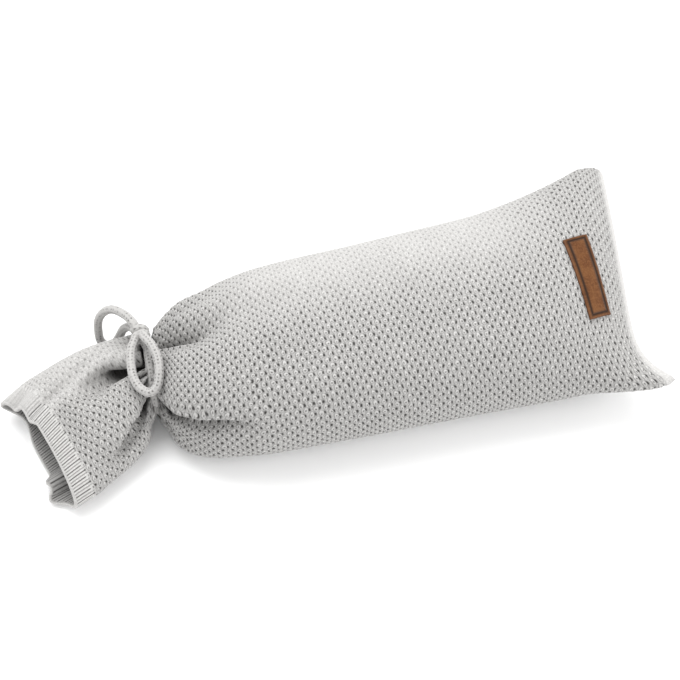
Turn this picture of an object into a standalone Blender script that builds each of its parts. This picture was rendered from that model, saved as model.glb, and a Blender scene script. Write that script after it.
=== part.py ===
"""A hot water bottle cover: a bag knitted in one piece, lying on its side as if its bottle were in it.

The bag runs along X, with its ribbed mouth and frill at -X, its gathered and tied neck next,
and its sewn end at +X, where two pillow corners stand out. Z is up, and the cloth rests on z = 0.
Tables and sizes are in millimetres. MM turns them into Blender's metres.
"""

import bpy
import numpy as np

MM = 0.001

# ------------------------------------------------------------------------------------------------
# Driving dimensions, in millimetres
# ------------------------------------------------------------------------------------------------

CLOTH_THICKNESS = 2.6
POINTS_ROUND = 72  # points round every ring of the bag
SEAM_GAP = 0.6  # the least height left between the two layers inside the pillow corners

# The bag's own cross-sections, from the hem to the sewn end. Each is a rounded oval that stands
# across the bag. Columns:
#   along       distance along the bag from the tie, negative towards the hem
#   x, y        where the oval's middle stands
#   low, top    the lowest and highest points of the cloth's middle surface, before it meets the floor
#   half_width  from the oval's middle to its side
#   power       2 is an ellipse, more is boxier, less is a lens with pointed sides
#   turn        degrees that the oval is turned about Z
#   lean        how far its top runs ahead of its underside, towards the sewn end
#   front_bow, back_bow   how far its two sides run ahead of its middle, towards the sewn end
#   rings       rings of points from this row up to the next
SECTIONS = (
    # along    x      y     low    top  half_width power  turn  lean front_bow back_bow rings
    (-83.0, -73.5, -22.5, -1.0, 25.0, 41.0, 2.10, 17.0, 6.0, 0.0, -9.0, 1),
    (-78.0, -69.0, -20.0, -1.5, 26.5, 41.5, 2.10, 17.5, 5.5, 0.0, -7.5, 2),
    (-65.0, -58.0, -14.4, -2.0, 29.0, 42.6, 2.10, 18.0, 3.0, 0.0, -3.0, 2),
    (-49.0, -44.0, -8.2, -2.0, 33.5, 42.8, 2.10, 18.0, 0.0, 0.0, 0.0, 2),
    (-33.0, -30.0, -1.7, -1.5, 36.5, 41.3, 2.05, 17.0, 0.0, 0.0, 0.0, 2),
    (-20.0, -18.5, 3.5, 0.5, 38.5, 37.0, 2.00, 14.0, 0.0, 0.0, 0.0, 2),
    (-10.0, -9.7, 8.4, 4.0, 39.0, 30.0, 2.00, 7.0, 0.0, 0.0, 0.0, 1),
    (-4.5, -4.4, 11.2, 6.7, 39.0, 26.6, 2.00, 1.0, 0.0, 0.0, 0.0, 1),
    (0.0, 0.0, 12.0, 7.1, 38.7, 26.6, 2.00, -4.0, 0.0, 0.0, 0.0, 1),
    (4.5, 4.5, 11.8, 6.7, 40.2, 27.8, 2.00, -7.0, 0.0, 0.0, 0.0, 1),
    (10.0, 9.5, 9.4, 3.0, 44.2, 37.2, 2.00, -10.0, 0.0, 0.0, 0.0, 2),
    (20.0, 18.5, 4.0, -1.0, 54.0, 48.4, 2.05, -12.0, 0.0, 0.0, 0.0, 2),
    (33.0, 32.0, -0.4, -3.0, 62.0, 53.4, 2.10, -11.0, 0.0, 0.0, 0.0, 2),
    (50.0, 50.0, -1.5, -4.0, 69.0, 55.5, 2.15, -8.0, 0.0, 0.0, 0.0, 2),
    (72.0, 72.0, -2.0, -4.5, 73.0, 57.0, 2.20, -4.0, 0.0, 0.0, 0.0, 2),
    (110.0, 110.0, -2.0, -4.5, 75.0, 58.0, 2.20, 0.0, 0.0, 0.0, 0.0, 2),
    (160.0, 160.0, -1.0, -4.5, 75.0, 59.5, 2.20, 0.0, 0.0, 0.0, 0.0, 2),
    (207.0, 207.0, 0.0, -4.0, 74.5, 61.5, 2.20, 0.0, 0.0, 0.0, 0.0, 2),
    (236.0, 236.0, 2.5, -2.5, 73.0, 65.5, 2.10, -1.5, 0.0, 1.0, 0.0, 1),
    (254.0, 254.0, 5.5, 0.0, 70.5, 69.5, 2.00, -4.0, 0.0, 4.0, 1.0, 1),
    (266.0, 266.0, 7.5, 3.5, 66.5, 74.0, 1.90, -6.0, 0.0, 9.0, 1.5, 1),
    (275.0, 275.0, 9.0, 8.5, 61.0, 77.5, 1.80, -7.0, 0.0, 13.0, 2.0, 1),
    (282.0, 282.0, 8.8, 15.0, 54.0, 78.2, 1.70, -7.4, 0.0, 17.5, 2.0, 1),
    (287.0, 287.0, 8.2, 23.5, 46.0, 76.8, 1.60, -7.5, 0.0, 20.5, 1.5, 1),
    (290.0, 290.0, 7.4, 32.0, 38.0, 73.4, 1.55, -7.5, 0.0, 21.5, 0.0, 1),
)
COLUMNS = (
    "along", "x", "y", "low", "top", "half_width", "power", "turn", "lean", "front_bow", "back_bow",
    "rings",
)
BOW_POWER = 6.0  # a bow only shows out towards the corners

OVAL_STEPS = 720  # steps that an oval is measured in
SLOPE_STEP = 0.002  # of the way round, between the two points that a slope is read from

# The folds that run out from the tie. u is the place round the cloth: 0 is the top, 0.25 the front
# (-Y), 0.5 the underside and 0.75 the back. Columns:
#   u_tie, depth, width       at the tie
#   skew                      over 0, the side towards larger u is the steeper one
#   u_body, reach, swell      where it points on the body, where it dies out, how much it deepens on the way
#   u_frill, frill_reach, frill_swell   the same towards the hem
FOLDS = (
    # name          u_tie depth width skew  u_body reach swell u_frill frill_reach frill_swell
    ("back_top", 0.925, 5.0, 0.028, 0.0, 0.945, 90.0, 20.0, 0.900, 24.0, 0.0),
    ("top_crease", 0.978, 3.4, 0.025, 0.4, 0.975, 48.0, 30.0, 0.985, 12.0, 0.0),
    ("valley", 0.998, 4.4, 0.033, 0.0, 0.050, 12.0, 0.0, 0.966, 54.0, 50.0),
    ("inner", 0.064, 3.4, 0.024, 0.0, 0.064, 10.0, 0.0, 0.064, 9.0, 0.0),
    ("inner_low", 0.115, 3.4, 0.020, 0.0, 0.115, 10.0, 0.0, 0.100, 12.0, 0.0),
    ("front_crease", 0.180, 2.8, 0.036, -0.6, 0.190, 60.0, 42.0, 0.170, 10.0, 0.0),
    ("frill_edge", 0.150, 0.0, 0.036, -0.6, 0.150, 10.0, 0.0, 0.192, 64.0, 36.0),
    ("front_low", 0.265, 3.6, 0.026, -0.3, 0.255, 40.0, 18.0, 0.300, 24.0, 0.0),
    ("low_pleat", 0.355, 2.4, 0.022, 0.0, 0.350, 20.0, 0.0, 0.350, 24.0, 0.0),
    ("tongue", 0.425, 1.4, 0.024, 0.0, 0.410, 26.0, 0.0, 0.390, 200.0, 34.0),
    ("under", 0.500, 0.4, 0.024, 0.0, 0.500, 26.0, 0.0, 0.500, 40.0, 0.0),
    ("back_low", 0.590, 3.0, 0.024, 0.0, 0.600, 34.0, 8.0, 0.620, 60.0, 4.0),
    ("back", 0.680, 3.5, 0.024, 0.0, 0.680, 46.0, 14.0, 0.690, 50.0, 6.0),
    ("back_high", 0.770, 3.5, 0.024, 0.0, 0.760, 40.0, 12.0, 0.780, 70.0, 12.0),
    ("back_pleat", 0.850, 4.0, 0.022, 0.0, 0.850, 56.0, 12.0, 0.850, 30.0, 4.0),
    ("front_lobe", 0.095, 0.0, 0.060, 0.0, 0.100, 60.0, -14.0, 0.050, 90.0, -10.0),
    ("hem_fold", 0.880, 0.0, 0.016, 0.0, 0.880, 10.0, 0.0, 0.903, 220.0, 13.0),
)
FOLD_WIDENS = 0.6  # how much wider a fold is where it dies out
FOLD_TURNS_BY = 0.45  # the part of its reach in which a fold swings over to where it points
FOLD_FADES = 1.2  # the power by which a fold runs out
SKEW_SHARE = 0.6  # how much of a side's width a skew of 1 takes

# Where the hem wavers. Columns: u, width, how far it runs out beyond the rest, how far it dips in.
HEM = (
    # u    width  out  dip
    (0.352, 0.032, 8.0, 0.0),
    (0.402, 0.022, 6.0, 0.0),
    (0.660, 0.060, -4.0, 0.0),
    (0.803, 0.028, 1.0, 6.0),
    (0.880, 0.050, 2.0, 0.0),
)
HEM_FROM = -60.0  # along the bag, where the hem's shape begins

# The part's origin is under the middle of the bag. The tables measure from the tie instead.
TIE_AT = (-105.5, -7.6)

# The tie is a soft round cord. It goes once round the neck, and two loops of a bow leave its knot.
CORD_DIAMETER = 5.4
CORD_POINT_SPACING = 4.5
CORD_ROUNDNESS = 3  # Blender's bevel_resolution
ROUTE_STEPS = 16  # fine steps between two points of a route
KNOT_AT = (-1.8, 27.0, 43.4)
KNOT_HALF_SIZES = (5.4, 4.2, 4.6)
KNOT_RIDGES = 3  # the cord's turns, which show as ridges over the knot
KNOT_RIDGE_HEIGHT = 0.7
KNOT_ROWS, KNOT_COLUMNS = 9, 18  # of its mesh
KNOT_TILT = 35.0  # degrees that the ridges slant
WRAP_AT = (0.6, 10.8, 23.4)
WRAP_HALF_WIDTH = 34.0
WRAP_HALF_HEIGHT = 20.6
WRAP_TURN = -3.5  # degrees about Z
WRAP_OPENS_AT = 0.923  # where round the neck the wrap goes into the knot
WRAP_POINTS = 40
WRAP_OPENS_BY = 0.036  # how much of the way round the knot takes up, to each side

# Middle lines of the two loops, from the tie, chosen by hand: each leaves the knot and comes back.
FRONT_LOOP = (
    (-5.8, 21.4, 45.8),
    (-8.4, 16.6, 46.2),
    (-10.4, 8.6, 45.8),
    (-11.0, -1.0, 45.0),
    (-8.8, -9.2, 44.4),
    (-3.6, -13.8, 44.0),
    (1.4, -12.0, 46.0),
    (4.4, -4.8, 49.4),
    (5.0, 4.2, 51.2),
    (3.2, 13.4, 51.4),
    (0.4, 20.2, 49.4),
)
BACK_LOOP = (
    (-4.6, 33.4, 46.2),
    (-7.4, 39.4, 45.4),
    (-11.9, 46.2, 42.2),
    (-16.2, 51.0, 37.4),
    (-20.6, 53.6, 31.0),
    (-23.8, 53.6, 24.0),
    (-25.2, 52.0, 15.0),
    (-25.0, 49.0, 7.0),
    (-21.0, 46.8, 3.2),
    (-16.2, 46.0, 7.0),
    (-13.4, 45.2, 14.0),
    (-10.6, 43.4, 24.0),
    (-7.4, 40.0, 32.0),
    (-4.8, 35.0, 37.2),
)

# The leather label, sewn on top of the bag near its sewn end, across the bag and a little askew.
LABEL_LENGTH = 54.0
LABEL_WIDTH = 15.0
LABEL_THICKNESS = 1.4
LABEL_ALONG = 263.5
LABEL_U = 0.041
LABEL_SLANT = 7.0  # degrees
LABEL_COLUMNS = 14
LABEL_ROWS = 4
LABEL_CLEARANCE = 0.35
LABEL_SLOPE_STEP = 1.0  # along the bag, between the points that the cloth's slope is read from

# ------------------------------------------------------------------------------------------------
# The bag's surface
# ------------------------------------------------------------------------------------------------


def column(name):
    """One column of SECTIONS."""
    return np.array([row[COLUMNS.index(name)] for row in SECTIONS])


def smooth_through(places, values, at):
    """A smooth curve through a table's values that never swings past them (monotone cubic)."""
    gaps = np.diff(places)
    slopes = np.diff(values) / gaps
    tangents = np.zeros(len(values))
    same_way = slopes[:-1] * slopes[1:] > 0.0
    near, far = slopes[:-1][same_way], slopes[1:][same_way]
    tangents[1:-1][same_way] = 2.0 * near * far / (near + far)
    tangents[0], tangents[-1] = slopes[0], slopes[-1]
    span = np.clip(np.searchsorted(places, at, side="right") - 1, 0, len(gaps) - 1)
    t = (at - places[span]) / gaps[span]
    return (
        (2 * t**3 - 3 * t**2 + 1) * values[span]
        + (t**3 - 2 * t**2 + t) * gaps[span] * tangents[span]
        + (3 * t**2 - 2 * t**3) * values[span + 1]
        + (t**3 - t**2) * gaps[span] * tangents[span + 1]
    )


def section_at(along):
    """The oval at one place along the bag, as a dict of SECTIONS' columns."""
    places = column("along")
    return {name: float(smooth_through(places, column(name), along)) for name in COLUMNS}


def ease(t):
    """0 at 0 and 1 at 1, level at both ends."""
    t = np.clip(t, 0.0, 1.0)
    return t * t * (3.0 - 2.0 * t)


def fold_depth(along, u):
    """How far the folds draw the cloth in, at one place along the bag and at places u round it."""
    total = np.zeros_like(u)
    for _, u_tie, depth, width, skew, *ways in FOLDS:
        u_far, reach, swell = ways[:3] if along >= 0.0 else ways[3:]
        gone = min(abs(along) / reach, 1.0)
        swing = (u_far - u_tie + 0.5) % 1.0 - 0.5
        centre = u_tie + swing * ease(gone / FOLD_TURNS_BY)
        deep = (depth + swell * gone) * (1.0 - gone) ** FOLD_FADES
        wide = width * (1.0 + FOLD_WIDENS * gone)
        away = (u - centre + 0.5) % 1.0 - 0.5
        side = np.where(away > 0.0, 1.0 - SKEW_SHARE * skew, 1.0 + SKEW_SHARE * skew)
        total += deep * np.exp(-((away / (wide * side)) ** 2))
    return total


def hem_sum(along, u, name):
    """One column of HEM, "out" or "dip", summed at one place along the bag and at places u round it."""
    near_hem = ease((along - HEM_FROM) / (SECTIONS[0][0] - HEM_FROM))
    total = np.zeros_like(u)
    for at, width, out, dip in HEM:
        total += (out if name == "out" else dip) * near_hem * np.exp(-(((u - at) / width) ** 2))
    return total


def oval(section, u):
    """Points and outward directions at u round one oval: across the bag (+ to the front) and up."""
    angle_from_top = np.linspace(0.0, 2.0 * np.pi, OVAL_STEPS + 1)
    sideways, upward = np.sin(angle_from_top), np.cos(angle_from_top)
    half_height = (section["top"] - section["low"]) / 2.0
    middle = (section["top"] + section["low"]) / 2.0
    across = section["half_width"] * np.sign(sideways) * np.abs(sideways) ** (2.0 / section["power"])
    up = middle + half_height * np.sign(upward) * np.abs(upward) ** (2.0 / section["power"])
    up = np.maximum(up, CLOTH_THICKNESS / 2.0)
    steps = np.hypot(np.diff(across), np.diff(up))
    run = np.concatenate([[0.0], np.cumsum(steps)]) / steps.sum()

    def at(places):
        return np.stack([np.interp(places % 1.0, run, across), np.interp(places % 1.0, run, up)], axis=-1)

    way = at(u + SLOPE_STEP) - at(u - SLOPE_STEP)
    outward = np.stack([-way[:, 1], way[:, 0]], axis=-1)
    outward /= np.linalg.norm(outward, axis=1)[:, None]
    return at(u), outward, middle


def bag_ring(along, u):
    """The middle of the cloth at places u round the bag, and the height of the oval's middle."""
    section = section_at(along)
    flat, outward, middle = oval(section, u)
    flat = flat - outward * (fold_depth(along, u) + hem_sum(along, u, "dip"))[:, None]
    flat[:, 1] = np.maximum(flat[:, 1], CLOTH_THICKNESS / 2.0)
    turn = np.radians(section["turn"])
    bow = np.where(flat[:, 0] > 0.0, section["front_bow"], section["back_bow"])
    ahead = bow * np.abs(flat[:, 0] / section["half_width"]) ** BOW_POWER
    ahead += section["lean"] * (flat[:, 1] - section["low"]) / (section["top"] - section["low"])
    ahead -= hem_sum(along, u, "out")
    x = section["x"] + flat[:, 0] * np.sin(turn) + ahead * np.cos(turn)
    y = section["y"] - flat[:, 0] * np.cos(turn) + ahead * np.sin(turn)
    return np.stack([x, y, flat[:, 1]], axis=-1), middle


def bag_surface(alongs, u):
    """Rings of the cloth's middle surface and their outward normals."""
    rings = [bag_ring(along, u) for along in alongs]
    points = np.array([ring for ring, _ in rings])
    middles = np.array([middle for _, middle in rings])
    down_bag = np.gradient(points, axis=0)
    round_bag = np.roll(points, -1, axis=1) - np.roll(points, 1, axis=1)
    normals = np.cross(round_bag, down_bag)
    normals /= np.linalg.norm(normals, axis=2)[:, :, None]
    return points, normals, middles


def ring_places():
    """Places along the bag of the rings that the solid is built on."""
    places, counts = column("along"), column("rings").astype(int)
    stretches = [
        np.linspace(start, stop, count, endpoint=False)
        for start, stop, count in zip(places[:-1], places[1:], counts[:-1])
    ]
    return np.concatenate(stretches + [places[-1:]])


def grid_faces(first, rings, flip):
    """Quads between rings of points numbered from first on."""
    faces = []
    for ring in range(rings - 1):
        for i in range(POINTS_ROUND):
            j = (i + 1) % POINTS_ROUND
            a = first + ring * POINTS_ROUND
            b = a + POINTS_ROUND
            face = (a + i, a + j, b + j, b + i)
            faces.append(face[::-1] if flip else face)
    return faces


def end_faces(first, flip):
    """Rungs that close the last ring: each point of the top layer meets the one under it."""
    half, quarter = POINTS_ROUND // 2, POINTS_ROUND // 4
    faces = []
    for i in range(-quarter, quarter):
        face = [first + k % POINTS_ROUND for k in (i, i + 1, half - i - 1, half - i)]
        face = list(dict.fromkeys(face))
        faces.append(face[::-1] if flip else face)
    return faces


def bag_mesh():
    """The bag as one closed solid: outside, inside, the hem's edge and the two closed ends."""
    u = np.arange(POINTS_ROUND) / POINTS_ROUND
    middle_surface, normals, middles = bag_surface(ring_places(), u)
    half = CLOTH_THICKNESS / 2.0
    outside = middle_surface + normals * half
    outside[:, :, 2] = np.maximum(outside[:, :, 2], 0.0)
    inside = (middle_surface - normals * half)[:-2]
    inside = keep_layers_apart(inside, middle_surface[:-2], middles[:-2])
    rings_out, rings_in = len(outside), len(inside)
    first_in = rings_out * POINTS_ROUND
    points = np.concatenate([outside.reshape(-1, 3), inside.reshape(-1, 3)])
    faces = grid_faces(0, rings_out, False) + grid_faces(first_in, rings_in, True)
    for i in range(POINTS_ROUND):
        j = (i + 1) % POINTS_ROUND
        faces.append((j, i, first_in + i, first_in + j))
    faces += end_faces((rings_out - 1) * POINTS_ROUND, False)
    faces += end_faces(first_in + (rings_in - 1) * POINTS_ROUND, True)
    return points, faces


def keep_layers_apart(inside, middle_surface, middles):
    """Inside the pillow corners the top and under layers close in on each other, but never cross."""
    level = middles[:, None]
    above = middle_surface[:, :, 2] - level
    least = np.minimum(np.abs(above), SEAM_GAP / 2.0)
    kept = np.where(above >= 0.0, np.maximum(inside[:, :, 2] - level, least), 0.0)
    kept = np.where(above < 0.0, np.minimum(inside[:, :, 2] - level, -least), kept)
    inside = inside.copy()
    inside[:, :, 2] = kept + level
    return inside


# ------------------------------------------------------------------------------------------------
# The tie and the label
# ------------------------------------------------------------------------------------------------


def smooth_route(route, spacing):
    """Evenly spaced points on a smooth curve through the route's own points (Catmull-Rom)."""
    knots = np.array(route)
    padded = np.concatenate([[2 * knots[0] - knots[1]], knots, [2 * knots[-1] - knots[-2]]])
    fine = []
    for a, b, c, d in zip(padded[:-3], padded[1:-2], padded[2:-1], padded[3:]):
        for t in np.linspace(0.0, 1.0, ROUTE_STEPS, endpoint=False):
            bend = (2 * a - 5 * b + 4 * c - d) * t**2 + (3 * b - a - 3 * c + d) * t**3
            fine.append((2 * b + (c - a) * t + bend) / 2.0)
    fine = np.array(fine + [knots[-1]])
    run = np.concatenate([[0.0], np.cumsum(np.linalg.norm(np.diff(fine, axis=0), axis=1))])
    stops = np.linspace(0.0, run[-1], int(round(run[-1] / spacing)) + 1)
    return np.stack([np.interp(stops, run, fine[:, axis]) for axis in range(3)], axis=-1)


def wrap_route():
    """The cord's way round the neck, bridging the folds, open where the knot takes it in."""
    start, stop = WRAP_OPENS_AT + WRAP_OPENS_BY, WRAP_OPENS_AT + 1.0 - WRAP_OPENS_BY
    angle = 2.0 * np.pi * np.linspace(start, stop, WRAP_POINTS)
    across, up = WRAP_HALF_WIDTH * np.sin(angle), WRAP_HALF_HEIGHT * np.cos(angle)
    turn = np.radians(WRAP_TURN)
    x, y, z = WRAP_AT
    return np.stack([x + across * np.sin(turn), y - across * np.cos(turn), z + up], axis=-1)


def knot_mesh():
    """A small lump with slanting ridges where the cord's turns lie over each other."""
    points, faces = [(0.0, 0.0, 1.0)], []
    for row in range(1, KNOT_ROWS):
        down = np.pi * row / KNOT_ROWS
        for i in range(KNOT_COLUMNS):
            turn = 2.0 * np.pi * i / KNOT_COLUMNS
            points.append((np.sin(down) * np.cos(turn), np.sin(down) * np.sin(turn), np.cos(down)))
    points.append((0.0, 0.0, -1.0))
    points = np.array(points)
    tilt = np.radians(KNOT_TILT)
    across = np.clip(points[:, 0] * np.cos(tilt) + points[:, 1] * np.sin(tilt), -1.0, 1.0)
    ridge = (np.cos(2.0 * KNOT_RIDGES * np.arcsin(across)) - 1.0) * KNOT_RIDGE_HEIGHT
    shaped = points * (np.array(KNOT_HALF_SIZES) + ridge[:, None])
    last = len(points) - 1
    last_row = last - KNOT_COLUMNS
    for i in range(KNOT_COLUMNS):
        j = (i + 1) % KNOT_COLUMNS
        faces.append((0, 1 + i, 1 + j))
        for above in range(1, last_row, KNOT_COLUMNS):
            below = above + KNOT_COLUMNS
            faces.append((above + i, below + i, below + j, above + j))
        faces.append((last, last_row + j, last_row + i))
    return shaped + np.array(KNOT_AT), faces


def label_mesh():
    """A thin plate bent over the bag's surface, on a grid of its own length and width."""
    slant = np.radians(LABEL_SLANT)
    lengths = np.linspace(-LABEL_LENGTH / 2.0, LABEL_LENGTH / 2.0, LABEL_COLUMNS + 1)
    widths = np.linspace(-LABEL_WIDTH / 2.0, LABEL_WIDTH / 2.0, LABEL_ROWS + 1)
    ring, _ = bag_ring(LABEL_ALONG, np.linspace(0.0, 1.0, OVAL_STEPS + 1))
    girth = np.linalg.norm(np.diff(ring, axis=0), axis=1).sum()
    lift = CLOTH_THICKNESS / 2.0 + LABEL_CLEARANCE
    under, over = [], []
    for width in widths:
        for length in lengths:
            along = LABEL_ALONG + length * np.sin(slant) + width * np.cos(slant)
            u = LABEL_U + (length * np.cos(slant) - width * np.sin(slant)) / girth
            alongs = np.array([along - LABEL_SLOPE_STEP, along, along + LABEL_SLOPE_STEP])
            nearby, normals, _ = bag_surface(alongs, np.array([u - SLOPE_STEP, u, u + SLOPE_STEP]))
            point, normal = nearby[1, 1], normals[1, 1]
            under.append(point + normal * lift)
            over.append(point + normal * (lift + LABEL_THICKNESS))
    points = np.array(under + over)
    return points, plate_faces(LABEL_ROWS + 1, LABEL_COLUMNS + 1)


def plate_faces(rows, columns):
    """Faces of a closed plate: an under grid of points, an over grid, and the edge between them."""
    count = rows * columns
    faces = []
    for row in range(rows - 1):
        for i in range(columns - 1):
            a = row * columns + i
            under = (a, a + columns, a + columns + 1, a + 1)
            faces.append(under)
            faces.append(tuple(k + count for k in under[::-1]))
    first_row = list(range(columns))
    last_row = [(rows - 1) * columns + i for i in range(columns)]
    left = [row * columns for row in range(rows)]
    right = [row * columns + columns - 1 for row in range(rows)]
    rim = first_row + right[1:] + last_row[::-1][1:] + left[::-1][1:-1]
    for a, b in zip(rim, rim[1:] + rim[:1]):
        faces.append((a, b, b + count, a + count))
    return faces


# ------------------------------------------------------------------------------------------------
# Blender objects
# ------------------------------------------------------------------------------------------------


def clear_scene():
    for thing in list(bpy.data.objects):
        bpy.data.objects.remove(thing, do_unlink=True)


def material(name, colour, roughness):
    made = bpy.data.materials.new(name)
    made.use_nodes = True
    shader = made.node_tree.nodes["Principled BSDF"]
    shader.inputs["Base Color"].default_value = (*colour, 1.0)
    shader.inputs["Roughness"].default_value = roughness
    shader.inputs["Metallic"].default_value = 0.0
    return made


def in_frame(points):
    """Tables' millimetres from the tie, as metres in the part's own frame."""
    return (np.asarray(points) + np.array((*TIE_AT, 0.0))) * MM


def add_mesh(name, points, faces, finish):
    mesh = bpy.data.meshes.new(name)
    mesh.from_pydata([tuple(point) for point in in_frame(points)], [], [tuple(face) for face in faces])
    mesh.validate()
    mesh.shade_smooth()
    mesh.materials.append(finish)
    made = bpy.data.objects.new(name, mesh)
    bpy.context.collection.objects.link(made)
    return made


def add_cord(name, route, finish):
    """A round cord with flat ends along a route of points."""
    curve = bpy.data.curves.new(name, "CURVE")
    curve.dimensions = "3D"
    curve.bevel_depth = CORD_DIAMETER / 2.0 * MM
    curve.bevel_resolution = CORD_ROUNDNESS
    curve.use_fill_caps = True
    spline = curve.splines.new("POLY")
    spline.points.add(len(route) - 1)
    for point, place in zip(spline.points, in_frame(route)):
        point.co = (*place, 1.0)
    curve.materials.append(finish)
    made = bpy.data.objects.new(name, curve)
    bpy.context.collection.objects.link(made)
    return made


def make_tie(finish):
    add_cord("tie_wrap", wrap_route(), finish)
    add_mesh("tie_knot", *knot_mesh(), finish)
    add_cord("tie_loop_front", smooth_route(FRONT_LOOP, CORD_POINT_SPACING), finish)
    add_cord("tie_loop_back", smooth_route(BACK_LOOP, CORD_POINT_SPACING), finish)


def main():
    clear_scene()
    knit = material("knit_grey", (0.66, 0.65, 0.63), 0.95)
    cord = material("cord_grey", (0.70, 0.69, 0.67), 0.95)
    leather = material("leather_tan", (0.43, 0.19, 0.09), 0.55)
    add_mesh("bag", *bag_mesh(), knit)
    make_tie(cord)
    add_mesh("label", *label_mesh(), leather)


main()
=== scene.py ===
"""The look of a hot water bottle cover: a knitted bag with a ribbed frill, a cord bow and a leather label.

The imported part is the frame. The bag's and the loops' tables are the same as the part's, in millimetres
from the tie, and every piece is built on them finely enough to carry its stitches. The wrap is the
exception: it is drawn tighter than the part's, and it runs through the cloth at the front and top.
"""

import math

import bpy
import numpy as np
from mathutils import Matrix, Vector


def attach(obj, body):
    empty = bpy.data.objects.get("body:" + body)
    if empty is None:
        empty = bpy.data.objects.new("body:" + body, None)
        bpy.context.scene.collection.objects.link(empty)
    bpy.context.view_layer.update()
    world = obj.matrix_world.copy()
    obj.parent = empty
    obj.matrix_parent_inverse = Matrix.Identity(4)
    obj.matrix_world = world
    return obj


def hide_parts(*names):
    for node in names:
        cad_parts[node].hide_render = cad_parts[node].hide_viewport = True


MM = 0.001

# ------------------------------------------------------------------------------------------------
# The part's shape, in millimetres
# ------------------------------------------------------------------------------------------------

CLOTH_THICKNESS = 2.6
SEAM_GAP = 0.6  # the least height left between the two layers inside the pillow corners

# The bag's own cross-sections, from the hem to the sewn end. Each is a rounded oval that stands
# across the bag. Columns:
#   along       distance along the bag from the tie, negative towards the hem
#   x, y        where the oval's middle stands
#   low, top    the lowest and highest points of the cloth's middle surface, before it meets the floor
#   half_width  from the oval's middle to its side
#   power       2 is an ellipse, more is boxier, less is a lens with pointed sides
#   turn        degrees that the oval is turned about Z
#   lean        how far its top runs ahead of its underside, towards the sewn end
#   front_bow, back_bow   how far its two sides run ahead of its middle, towards the sewn end
SECTIONS = (
    # along    x      y     low    top  half_width power  turn  lean front_bow back_bow
    (-83.0, -73.5, -22.5, -1.0, 25.0, 41.0, 2.10, 17.0, 6.0, 0.0, -9.0),
    (-78.0, -69.0, -20.0, -1.5, 26.5, 41.5, 2.10, 17.5, 5.5, 0.0, -7.5),
    (-65.0, -58.0, -14.4, -2.0, 29.0, 42.6, 2.10, 18.0, 3.0, 0.0, -3.0),
    (-49.0, -44.0, -8.2, -2.0, 33.5, 42.8, 2.10, 18.0, 0.0, 0.0, 0.0),
    (-33.0, -30.0, -1.7, -1.5, 36.5, 41.3, 2.05, 17.0, 0.0, 0.0, 0.0),
    (-20.0, -18.5, 3.5, 0.5, 38.5, 37.0, 2.00, 14.0, 0.0, 0.0, 0.0),
    (-10.0, -9.7, 8.4, 4.0, 39.0, 30.0, 2.00, 7.0, 0.0, 0.0, 0.0),
    (-4.5, -4.4, 11.2, 6.7, 39.0, 26.6, 2.00, 1.0, 0.0, 0.0, 0.0),
    (0.0, 0.0, 12.0, 7.1, 38.7, 26.6, 2.00, -4.0, 0.0, 0.0, 0.0),
    (4.5, 4.5, 11.8, 6.7, 40.2, 27.8, 2.00, -7.0, 0.0, 0.0, 0.0),
    (10.0, 9.5, 9.4, 3.0, 44.2, 37.2, 2.00, -10.0, 0.0, 0.0, 0.0),
    (20.0, 18.5, 4.0, -1.0, 54.0, 48.4, 2.05, -12.0, 0.0, 0.0, 0.0),
    (33.0, 32.0, -0.4, -3.0, 62.0, 53.4, 2.10, -11.0, 0.0, 0.0, 0.0),
    (50.0, 50.0, -1.5, -4.0, 69.0, 55.5, 2.15, -8.0, 0.0, 0.0, 0.0),
    (72.0, 72.0, -2.0, -4.5, 73.0, 57.0, 2.20, -4.0, 0.0, 0.0, 0.0),
    (110.0, 110.0, -2.0, -4.5, 75.0, 58.0, 2.20, 0.0, 0.0, 0.0, 0.0),
    (160.0, 160.0, -1.0, -4.5, 75.0, 59.5, 2.20, 0.0, 0.0, 0.0, 0.0),
    (207.0, 207.0, 0.0, -4.0, 74.5, 61.5, 2.20, 0.0, 0.0, 0.0, 0.0),
    (236.0, 236.0, 2.5, -2.5, 73.0, 65.5, 2.10, -1.5, 0.0, 1.0, 0.0),
    (254.0, 254.0, 5.5, 0.0, 70.5, 69.5, 2.00, -4.0, 0.0, 4.0, 1.0),
    (266.0, 266.0, 7.5, 3.5, 66.5, 74.0, 1.90, -6.0, 0.0, 9.0, 1.5),
    (275.0, 275.0, 9.0, 8.5, 61.0, 77.5, 1.80, -7.0, 0.0, 13.0, 2.0),
    (282.0, 282.0, 8.8, 15.0, 54.0, 78.2, 1.70, -7.4, 0.0, 17.5, 2.0),
    (287.0, 287.0, 8.2, 23.5, 46.0, 76.8, 1.60, -7.5, 0.0, 20.5, 1.5),
    (290.0, 290.0, 7.4, 32.0, 38.0, 73.4, 1.55, -7.5, 0.0, 21.5, 0.0),
)
COLUMNS = (
    "along", "x", "y", "low", "top", "half_width", "power", "turn", "lean", "front_bow", "back_bow",
)
BOW_POWER = 6.0  # a bow only shows out towards the corners

OVAL_STEPS = 720  # steps that an oval is measured in
SLOPE_STEP = 0.002  # of the way round, between the two points that a slope is read from

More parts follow.
